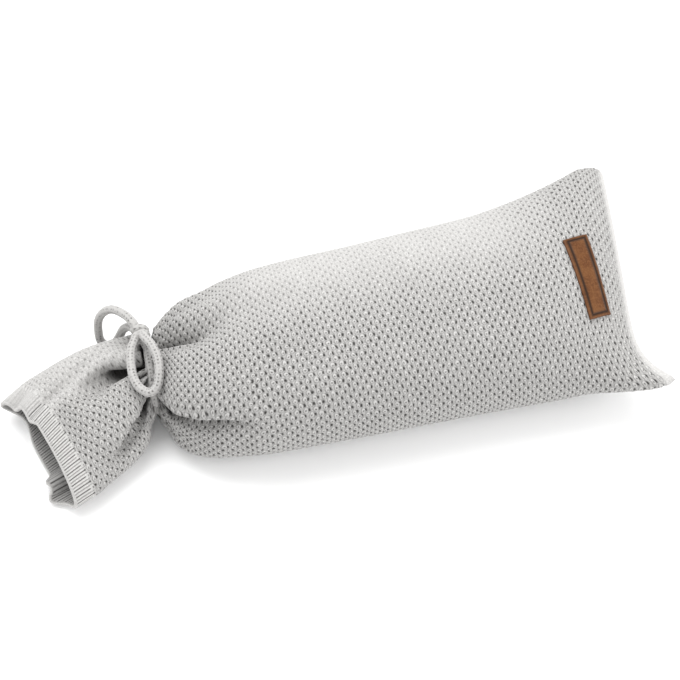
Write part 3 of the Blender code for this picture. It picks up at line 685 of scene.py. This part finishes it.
def bag_piece(material):
    """The bag with its stitches: outside, hem and inside as one closed mesh."""
    alongs, stitches, from_hem = stitch_places()
    from_end = from_hem[-1] - from_hem
    u = places_round(alongs)
    columns = np.arange(POINTS_ROUND + 1) / POINTS_PER_COLUMN
    surface, normals, middles = bag_surface(alongs, u)
    girths = np.linalg.norm(np.roll(surface, -1, axis=1) - surface, axis=2).sum(axis=1)
    inward, slid, ahead, painted_shade = creased(alongs, u, girths)
    forward = np.gradient(surface, axis=0)
    forward /= np.linalg.norm(forward, axis=2)[:, :, None]
    sideways = np.roll(surface, -1, axis=1) - np.roll(surface, 1, axis=1)
    sideways /= np.linalg.norm(sideways, axis=2)[:, :, None]
    surface = surface - normals * inward[:, :, None] + sideways * slid[:, :, None]
    surface += forward * ahead[:, :, None]
    surface[:, :, 2] = np.maximum(surface[:, :, 2], CLOTH_THICKNESS / 2.0)
    relief = knit_relief(columns[None, :-1], u, stitches[:, None], from_hem[:, None], from_end[:, None])
    outside = surface + normals * (CLOTH_THICKNESS / 2.0 + relief)[:, :, None]
    outside[:, :, 2] = np.maximum(outside[:, :, 2], 0.0)
    behind = around(inward, INNER_CLEARS) - inward
    inside = surface - normals * (CLOTH_THICKNESS / 2.0 + behind)[:, :, None]
    inside = keep_layers_apart(inside, surface, middles)

    turns = np.concatenate([u, u[:, :1] + 1.0], axis=1)
    cloth = Cloth()
    out_rings = [
        cloth.add_ring(outside[k], columns, stitches[k], (from_hem[k], from_end[k]), turns[k], painted_shade[k])
        for k in range(len(alongs))
    ]
    for ring, next_ring in zip(out_rings[:-1], out_rings[1:]):
        cloth.join(ring, next_ring)
    cloth.close(out_rings[-1])

    edge_way = surface[0] - surface[1]
    edge_way /= np.linalg.norm(edge_way, axis=1)[:, None]
    edge = surface[0] + edge_way * HEM_BULGE
    edge[:, 2] = np.maximum(edge[:, 2], 0.3)
    edge_ring = cloth.add_ring(edge, columns, stitches[0], (-HEM_BULGE, from_end[0]), turns[0])

    stops = list(range(INNER_FINE_RINGS))
    while from_end[stops[-1]] > PLAIN_END + INNER_RING_STEP:
        stops.append(int(np.searchsorted(from_hem, from_hem[stops[-1]] + INNER_RING_STEP)))
    in_rings = []
    for k in stops:
        step = 1 if k < INNER_FINE_RINGS else POINTS_PER_COLUMN
        reach = (from_hem[k], from_end[k])
        # Painted shade all over the inside
        shade = np.full(len(inside[k][::step]), INSIDE_SHADE)
        ring = cloth.add_ring(inside[k][::step], columns[::step], stitches[k], reach, turns[k][::step], shade)
        in_rings.append(ring)
    cloth.join(edge_ring, out_rings[0])
    cloth.join(edge_ring, in_rings[0], flip=True)
    for ring, next_ring in zip(in_rings[:-1], in_rings[1:]):
        cloth.join(ring, next_ring, flip=True)
    cloth.close(in_rings[-1], flip=True)
    return cloth.build("bag_knit", material)


def tube_frames(path):
    """Two directions across a path at each of its points, turning as little as they can."""
    way = np.gradient(path, axis=0)
    way /= np.linalg.norm(way, axis=1)[:, None]
    first = np.cross(way[0], (0.3, 0.2, 1.0))
    sides = [first / np.linalg.norm(first)]
    for k in range(1, len(path)):
        side = sides[-1] - way[k] * np.dot(sides[-1], way[k])
        sides.append(side / np.linalg.norm(side))
    sides = np.array(sides)
    return sides, np.cross(way, sides)


def add_tube(cloth, path, closed=False):
    """A knitted cord along a path, as rings of a Cloth."""
    sides, ups = tube_frames(path)
    if closed:
        sides[-1], ups[-1] = sides[0], ups[0]
    columns = np.arange(CORD_POINTS_ROUND + 1) * CORD_COLUMNS / CORD_POINTS_ROUND
    angle = 2.0 * np.pi * np.arange(CORD_POINTS_ROUND) / CORD_POINTS_ROUND
    run = np.concatenate([[0.0], np.cumsum(np.linalg.norm(np.diff(path, axis=0), axis=1))])
    rings = []
    for k, middle in enumerate(path):
        stitch = run[k] / CORD_STITCH
        within = columns[:-1] - np.floor(columns[:-1])
        arm = stitch + CORD_ARM * np.abs(within - 0.5)
        groove = np.exp(-(((arm - np.round(arm)) / 0.2) ** 2))
        ridge = np.sin(np.pi * within) ** 0.6
        radius = CORD_DIAMETER / 2.0 + CORD_RIDGE * (ridge - 0.8) - CORD_GROOVE * groove
        points = middle + radius[:, None] * (
            np.cos(angle)[:, None] * sides[k] + np.sin(angle)[:, None] * ups[k]
        )
        rings.append(cloth.add_ring(points, columns, stitch, (run[k], run[-1] - run[k])))
    for ring, next_ring in zip(rings[:-1], rings[1:]):
        cloth.join(ring, next_ring, flip=True)
    if not closed:
        for ring, flip in ((rings[0], False), (rings[-1], True)):
            corners = [(ring, k) for k in range(CORD_POINTS_ROUND)]
            cloth.face(corners[::-1] if flip else corners)


def cord_piece(name, path, material):
    cloth = Cloth()
    add_tube(cloth, path)
    return cloth.build(name, material)


def knot_piece(material):
    """Turns of the cord round the place where the loops cross."""
    cloth = Cloth()
    angle = np.linspace(0.0, 2.0 * np.pi, 44)
    for offset, tilt, size in KNOT_TURNS:
        lean = math.radians(tilt)
        across, up = size * KNOT_TURN_RADII[0] * np.cos(angle), size * KNOT_TURN_RADII[1] * np.sin(angle)
        x, y = across * math.cos(lean), offset + across * math.sin(lean)
        add_tube(cloth, np.stack([x, y, up], axis=-1) + np.array(KNOT_AT), closed=True)
    return cloth.build("tie_knot_turns", material)


def label_piece(material):
    """A leather strip bent over the bag, with softly rounded edges."""
    slant = math.radians(LABEL_SLANT)
    lengths = np.linspace(-LABEL_LENGTH / 2.0, LABEL_LENGTH / 2.0, LABEL_COLUMNS + 1)
    widths = np.linspace(-LABEL_WIDTH / 2.0, LABEL_WIDTH / 2.0, LABEL_ROWS + 1)
    ring, _ = bag_ring(LABEL_ALONG, np.linspace(0.0, 1.0, OVAL_STEPS + 1))
    girth = np.linalg.norm(np.diff(ring, axis=0), axis=1).sum()
    lift = CLOTH_THICKNESS / 2.0 + LABEL_CLEARANCE
    under, over, measures = [], [], []
    for width in widths:
        for length in lengths:
            along = LABEL_ALONG + length * math.sin(slant) + width * math.cos(slant)
            u = LABEL_U + (length * math.cos(slant) - width * math.sin(slant)) / girth
            alongs = np.array([along - LABEL_SLOPE_STEP, along, along + LABEL_SLOPE_STEP])
            nearby, normals, _ = bag_surface(alongs, np.array([u - SLOPE_STEP, u, u + SLOPE_STEP]))
            point, normal = nearby[1, 1], normals[1, 1]
            edge = min(LABEL_LENGTH / 2.0 - abs(length), LABEL_WIDTH / 2.0 - abs(width))
            rounded = LABEL_THICKNESS * (0.72 + 0.28 * ease(edge / 1.2))
            under.append(point + normal * lift)
            over.append(point + normal * (lift + rounded))
            measures.append((length, width))
    columns, rows = LABEL_COLUMNS + 1, LABEL_ROWS + 1
    count = rows * columns
    faces = []
    for row in range(rows - 1):
        for i in range(columns - 1):
            a = row * columns + i
            low = (a, a + columns, a + columns + 1, a + 1)
            faces.append(low)
            faces.append(tuple(k + count for k in low[::-1]))
    rim = list(range(columns)) + [row * columns + columns - 1 for row in range(1, rows)]
    rim += [(rows - 1) * columns + i for i in range(columns - 2, -1, -1)]
    rim += [row * columns for row in range(rows - 2, 0, -1)]
    for a, b in zip(rim, rim[1:] + rim[:1]):
        faces.append((a, b, b + count, a + count))
    mesh = bpy.data.meshes.new("label_leather")
    mesh.from_pydata(in_frame(under + over).tolist(), [], faces)
    uv = mesh.uv_layers.new(name="Leather")
    measures = measures + measures
    for loop in mesh.loops:
        uv.data[loop.index].uv = measures[loop.vertex_index]
    mesh.shade_smooth()
    mesh.materials.append(material)
    made = bpy.data.objects.new("label_leather", mesh)
    bpy.context.collection.objects.link(made)
    return made


# ------------------------------------------------------------------------------------------------
# Materials
# ------------------------------------------------------------------------------------------------


class Shader:
    """One material and short ways to add nodes to it."""

    def __init__(self, name, roughness):
        self.material = bpy.data.materials.new(name)
        self.material.use_nodes = True
        self.tree = self.material.node_tree
        self.surface = self.tree.nodes["Principled BSDF"]
        self.surface.inputs["Roughness"].default_value = roughness

    def put(self, node, socket, value):
        if isinstance(value, bpy.types.NodeSocket):
            self.tree.links.new(value, node.inputs[socket])
        else:
            node.inputs[socket].default_value = value

    def math(self, operation, *values):
        node = self.tree.nodes.new("ShaderNodeMath")
        node.operation = operation
        for place, value in enumerate(values):
            self.put(node, place, value)
        return node.outputs[0]

    def product(self, *values):
        result = values[0]
        for value in values[1:]:
            result = self.math("MULTIPLY", result, value)
        return result

    def total(self, *values):
        result = values[0]
        for value in values[1:]:
            result = self.math("ADD", result, value)
        return result

    def measures(self, layer):
        node = self.tree.nodes.new("ShaderNodeUVMap")
        node.uv_map = layer
        split = self.tree.nodes.new("ShaderNodeSeparateXYZ")
        self.tree.links.new(node.outputs["UV"], split.inputs[0])
        return split.outputs["X"], split.outputs["Y"]

    def ease(self, value, start, stop):
        """0 at start and 1 at stop."""
        node = self.tree.nodes.new("ShaderNodeMapRange")
        node.interpolation_type = "SMOOTHSTEP"
        for socket, setting in (("Value", value), ("From Min", start), ("From Max", stop)):
            self.put(node, socket, setting)
        return node.outputs["Result"]

    def bump_of(self, squares):
        """exp(-squares)."""
        return self.math("EXPONENT", self.product(squares, -1.0))

    def square_over(self, value, width):
        scaled = self.math("DIVIDE", value, width)
        return self.math("MULTIPLY", scaled, scaled)

    def noise(self, scale, detail):
        place = self.tree.nodes.new("ShaderNodeTexCoord")
        node = self.tree.nodes.new("ShaderNodeTexNoise")
        node.inputs["Scale"].default_value = scale
        node.inputs["Detail"].default_value = detail
        self.tree.links.new(place.outputs["Object"], node.inputs["Vector"])
        return node.outputs["Fac"]

    def swing(self, scale):
        """A noise about 0."""
        return self.math("SUBTRACT", self.noise(scale, 0.0), 0.5)

    def blend(self, share, first, second):
        node = self.tree.nodes.new("ShaderNodeMix")
        node.data_type = "RGBA"
        self.put(node, "Factor", share)
        for socket, colour in (("A", first), ("B", second)):
            target = next(s for s in node.inputs if s.name == socket and s.type == "RGBA")
            if isinstance(colour, bpy.types.NodeSocket):
                self.tree.links.new(colour, target)
            else:
                target.default_value = (*colour, 1.0)
        return next(s for s in node.outputs if s.type == "RGBA")

    def relief(self, height, depth):
        """Bumps of a height in mm."""
        node = self.tree.nodes.new("ShaderNodeBump")
        node.inputs["Strength"].default_value = depth
        node.inputs["Distance"].default_value = MM
        self.tree.links.new(height, node.inputs["Height"])
        self.tree.links.new(node.outputs["Normal"], self.surface.inputs["Normal"])

    def colour(self, socket):
        self.tree.links.new(socket, self.surface.inputs["Base Color"])


def knit_material():
    """Open cotton knit: slanting holes in staggered columns, and a ribbed hem, with painted shade in the
    holes, recesses and creases.
    """
    shader = Shader("cotton_knit", 0.95)
    columns, stitches = shader.measures("Knit")
    from_hem, from_end = shader.measures("Reach")
    place_round, painted_shade_measure = shader.measures("Turn")
    (column_noise, column_strays), (stitch_noise, stitch_strays) = PLACE_STRAYS
    columns = shader.total(columns, shader.product(shader.swing(column_noise), column_strays))
    stitches = shader.total(stitches, shader.product(shader.swing(stitch_noise), stitch_strays))
    uneven = shader.total(0.72, shader.product(shader.noise(310.0, 1.0), 0.56))
    nearest = shader.math("ROUND", columns)
    across = shader.math("SUBTRACT", columns, nearest)
    odd = shader.math("FLOORED_MODULO", nearest, 2.0)
    offset = shader.total(stitches, shader.product(odd, 0.5), shader.product(across, HOLE_SLANT))
    ahead = shader.math("SUBTRACT", offset, shader.math("ROUND", offset))
    on_body = shader.ease(from_hem, SLACK_REACH - 20.0, SLACK_REACH)
    hole_long = shader.total(PAINTED_HOLE_LONG[0], shader.product(on_body, PAINTED_HOLE_LONG[1]))
    hole = shader.bump_of(
        shader.total(shader.square_over(ahead, PAINTED_HOLE_WIDE), shader.square_over(across, hole_long))
    )
    place = shader.total(stitches, shader.product(odd, 0.5), BEAD_AT)
    on_bead = shader.math("SUBTRACT", place, shader.math("ROUND", place))
    spread = shader.total(shader.square_over(on_bead, BEAD_LONG), shader.square_over(across, BEAD_WIDE))
    bead = shader.math("SUBTRACT", 1.0, shader.ease(spread, 0.25, 1.0))
    out = shader.math("SUBTRACT", shader.math("SQRT", spread), 1.0)
    rim = shader.bump_of(shader.square_over(out, 0.24))
    dot = shader.bump_of(
        shader.total(
            shader.square_over(on_bead, 0.10),
            shader.square_over(shader.math("SUBTRACT", across, 0.08), 0.19),
        )
    )
    turn = shader.math("SINE", shader.product(columns, 2.0 * math.pi / KNIT_COLUMNS))
    # Painted light: towards the top and back of the bag, where the light falls, the holes' painted shade and
    # bumps are weaker, but not near the hem or the sewn end
    shut = shader.product(
        shader.math("SUBTRACT", 1.0, shader.ease(turn, -0.80, 0.40)),
        shader.ease(from_hem, OPEN_AFTER, OPEN_AFTER + 90.0),
        shader.ease(from_end, 0.4 * OPEN_END, 1.4 * OPEN_END),
        1.0 - SHUT_HOLES,
    )
    in_body = shader.product(
        shader.ease(from_hem, HEM_LENGTH - 1.5, HEM_LENGTH + 0.5),
        shader.ease(from_end, 0.4 * PLAIN_END, 1.4 * PLAIN_END),
    )
    start, stop = SLACK_FRILL
    place = shader.math("FLOORED_MODULO", place_round, 1.0)
    frill = shader.product(
        shader.ease(place, start, start + SLACK_FADES),
        shader.math("SUBTRACT", 1.0, shader.ease(place, stop - SLACK_FADES, stop)),
        shader.math("SUBTRACT", 1.0, shader.ease(from_hem, SLACK_REACH - 30.0, SLACK_REACH)),
        FRILL_SHUT,
    )
    opened = shader.product(
        in_body, shader.math("SUBTRACT", 1.0, shut), shader.math("SUBTRACT", 1.0, frill),
    )
    hem_end = shader.total(HEM_LENGTH, shader.product(odd, -1.8))
    start, stop = SMOOTH_HEM[0] * KNIT_COLUMNS, SMOOTH_HEM[1] * KNIT_COLUMNS
    flat = shader.product(
        shader.ease(columns, start, start + 3.0),
        shader.math("SUBTRACT", 1.0, shader.ease(columns, stop - 2.5, stop + 0.5)),
    )
    hem = shader.product(
        shader.ease(from_hem, 0.3, 1.2),
        shader.math("SUBTRACT", 1.0, shader.ease(shader.math("SUBTRACT", from_hem, hem_end), -0.6, 0.6)),
    )
    pressed = shader.product(hem, flat)
    in_hem = shader.product(hem, shader.math("SUBTRACT", 1.0, shader.product(flat, 0.85)))
    turned = shader.product(place_round, 2.0 * math.pi * HEM_RIBS)
    rib = shader.math("POWER", shader.total(shader.product(shader.math("COSINE", turned), 0.5), 0.5), 2.4)
    other = shader.total(shader.product(shader.math("COSINE", shader.product(turned, 0.5)), 0.2), 0.8)
    rib = shader.product(rib, other)
    fuzz = shader.noise(1400.0, 3.0)
    tone = shader.noise(60.0, 2.0)
    # Painted shade: the holes, the dots and rims of the beads, the valleys between the beads and the hem's
    # rib grooves are darkened where shade falls in them; the pressed part of the hem is 14% darker
    painted_shade = shader.math("MINIMUM", 0.97, shader.total(
        shader.product(hole, opened, uneven),
        shader.product(dot, opened, uneven, 0.85),
        shader.product(rim, opened, 0.30),
        shader.product(shader.math("SUBTRACT", 1.0, bead), opened, 0.25),
        shader.product(rib, in_hem, 0.92),
        shader.product(pressed, 0.14),
    ))
    yarn = shader.blend(tone, YARN_DARK, YARN_LIGHT)
    yarn = shader.blend(shader.ease(fuzz, 0.35, 0.75), yarn, YARN_FUZZ)
    knit = shader.blend(painted_shade, yarn, HOLE_SHADE_COLOUR)
    # Painted shade in the creases, the groove under the tie, the neck's pleats and all over the inside
    painted_shade_share = shader.product(shader.ease(painted_shade_measure, 0.25, 1.0), CREASE_SHADE_PAINT)
    shader.colour(shader.blend(painted_shade_share, knit, CREASE_SHADE_COLOUR))
    shader.surface.inputs["Sheen Weight"].default_value = 0.15
    shader.surface.inputs["Sheen Roughness"].default_value = 0.6
    shader.surface.inputs["Specular IOR Level"].default_value = 0.15
    height = shader.total(
        shader.product(bead, opened, 0.30),
        shader.product(rim, opened, -0.20),
        shader.product(hole, opened, -0.8),
        shader.product(dot, opened, -0.3),
        shader.product(rib, in_hem, -0.6),
        shader.product(fuzz, 0.35),
    )
    shader.relief(height, 0.8)
    return shader.material


def cord_material():
    """A tube of fine knit: columns of slanting stitches, with painted shade in the gaps between them."""
    shader = Shader("cotton_cord", 0.95)
    columns, stitches = shader.measures("Knit")
    within = shader.math("FRACT", columns)
    aside = shader.math("ABSOLUTE", shader.math("SUBTRACT", within, 0.5))
    arm = shader.total(stitches, shader.product(aside, CORD_ARM))
    near = shader.math("SUBTRACT", arm, shader.math("ROUND", arm))
    side = shader.math("SUBTRACT", columns, shader.math("ROUND", columns))
    gap = shader.bump_of(shader.total(shader.square_over(near, 0.24), shader.square_over(side, 0.27)))
    fuzz = shader.noise(1500.0, 3.0)
    yarn = shader.blend(fuzz, YARN_DARK, YARN_LIGHT)
    uneven = shader.ease(shader.noise(420.0, 1.0), 0.30, 0.62)
    # Painted shade in the gaps between the stitches
    shader.colour(shader.blend(shader.product(gap, uneven, 0.95), yarn, CORD_GAP_SHADE_COLOUR))
    shader.surface.inputs["Sheen Weight"].default_value = 0.25
    shader.surface.inputs["Specular IOR Level"].default_value = 0.15
    shader.relief(shader.total(shader.product(gap, -0.5), shader.product(fuzz, 0.3)), 0.7)
    return shader.material


def leather_material():
    """Tan leather with a border burnt in."""
    shader = Shader("tan_leather", 0.5)
    length, width = shader.measures("Leather")
    to_end = shader.math("SUBTRACT", LABEL_LENGTH / 2.0, shader.math("ABSOLUTE", length))
    to_side = shader.math("SUBTRACT", LABEL_WIDTH / 2.0, shader.math("ABSOLUTE", width))
    edge = shader.math("MINIMUM", to_end, to_side)
    line = shader.math("SUBTRACT", edge, BORDER_INSET)
    border = shader.bump_of(shader.square_over(line, BORDER_WIDTH / 2.0))
    rim = shader.math("SUBTRACT", 1.0, shader.ease(edge, 0.0, 0.9))
    shader.surface.inputs["Specular IOR Level"].default_value = 0.2
    grain = shader.noise(900.0, 4.0)
    patches = shader.noise(120.0, 2.0)
    tan = shader.blend(shader.ease(patches, 0.35, 0.65), TAN_DARK, TAN_LIGHT)
    tan = shader.blend(shader.product(shader.ease(grain, 0.4, 0.7), 0.45), tan, TAN_GRAIN)
    tan = shader.blend(shader.product(rim, 0.45), tan, TAN_RIM)
    shader.colour(shader.blend(shader.product(border, 0.98), tan, TAN_BURNT))
    shader.relief(shader.total(shader.product(border, -0.5), shader.product(grain, 0.12)), 0.8)
    return shader.material


def plain_material(name, colour, roughness):
    shader = Shader(name, roughness)
    shader.surface.inputs["Base Color"].default_value = (*colour, 1.0)
    return shader.material


# ------------------------------------------------------------------------------------------------
# Stage
# ------------------------------------------------------------------------------------------------


def add_floor():
    mesh = bpy.data.meshes.new("floor")
    corners = [(x * FLOOR_HALF, y * FLOOR_HALF, 0.0) for x, y in ((-1, -1), (1, -1), (1, 1), (-1, 1))]
    mesh.from_pydata(corners, [], [(0, 1, 2, 3)])
    mesh.materials.append(plain_material("white_floor", (0.96, 0.96, 0.96), 0.9))
    floor = bpy.data.objects.new("floor", mesh)
    bpy.context.collection.objects.link(floor)


def add_area_light(name, place, size, power):
    """A soft light that points at the object."""
    light = bpy.data.lights.new(name, "AREA")
    light.shape = "DISK"
    light.size = size
    light.energy = power
    lamp = bpy.data.objects.new(name, light)
    lamp.location = place
    lamp.rotation_euler = (-Vector(place)).to_track_quat("-Z", "Y").to_euler()
    bpy.context.collection.objects.link(lamp)


def add_lights():
    for light in LIGHTS:
        add_area_light(*light)
    world = bpy.data.worlds.new("studio")
    world.use_nodes = True
    world.node_tree.nodes["Background"].inputs["Color"].default_value = (1.0, 1.0, 1.0, 1.0)
    world.node_tree.nodes["Background"].inputs["Strength"].default_value = STUDIO_LIGHT
    bpy.context.scene.world = world
    bpy.context.scene.view_settings.view_transform = "Standard"


def add_camera():
    """The photo's own view."""
    azimuth, elevation = math.radians(VIEW_AZIMUTH), math.radians(VIEW_ELEVATION)
    level = math.cos(elevation)
    back = Vector((math.sin(azimuth) * level, -math.cos(azimuth) * level, math.sin(elevation)))
    right = Vector((math.cos(azimuth), math.sin(azimuth), 0.0))
    up = back.cross(right)
    middle = Vector(in_frame(TIE_MIDDLE)) / MM
    middle += right * (IMAGE_SIZE / 2.0 - TIE_PIXEL[0]) * PIXEL_MM
    middle += up * (TIE_PIXEL[1] - IMAGE_SIZE / 2.0) * PIXEL_MM
    pose = Matrix((right, up, back)).transposed().to_4x4()
    pose.translation = (middle + back * VIEW_DISTANCE) * MM
    camera = bpy.data.cameras.new("camera")
    camera.sensor_width = SENSOR
    camera.lens = SENSOR * VIEW_DISTANCE / (IMAGE_SIZE * PIXEL_MM)
    holder = bpy.data.objects.new("camera", camera)
    holder.matrix_world = pose
    bpy.context.collection.objects.link(holder)
    bpy.context.scene.camera = holder


# ------------------------------------------------------------------------------------------------
# The object
# ------------------------------------------------------------------------------------------------


def add_tie(cord):
    """The wrap, the knot and the two loops, each in its node's place."""
    knot = knot_piece(cord)
    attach(knot, "root")
    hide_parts("tie_knot")
    routes = (
        ("tie_wrap", wrap_route(), WRAP_ENDS),
        ("tie_loop_front", FRONT_LOOP, FRONT_LOOP_ENDS),
        ("tie_loop_back", BACK_LOOP, BACK_LOOP_ENDS),
    )
    for name, route, (first, last) in routes:
        path = smooth_route([first, *route, last], CORD_RING_STEP)
        piece = cord_piece(name + "_knit", path, cord)
        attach(piece, "root")
        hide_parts(name)


def main():
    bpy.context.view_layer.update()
    bag = bag_piece(knit_material())
    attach(bag, "root")
    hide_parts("bag")
    add_tie(cord_material())
    label = label_piece(leather_material())
    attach(label, "root")
    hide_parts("label")
    add_floor()
    add_lights()
    add_camera()


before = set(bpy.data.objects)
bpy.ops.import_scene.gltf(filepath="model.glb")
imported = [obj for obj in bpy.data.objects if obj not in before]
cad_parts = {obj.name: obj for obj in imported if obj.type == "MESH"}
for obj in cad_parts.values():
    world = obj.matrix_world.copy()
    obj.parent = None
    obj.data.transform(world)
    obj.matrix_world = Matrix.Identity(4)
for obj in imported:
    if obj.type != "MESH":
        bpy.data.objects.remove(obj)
main()
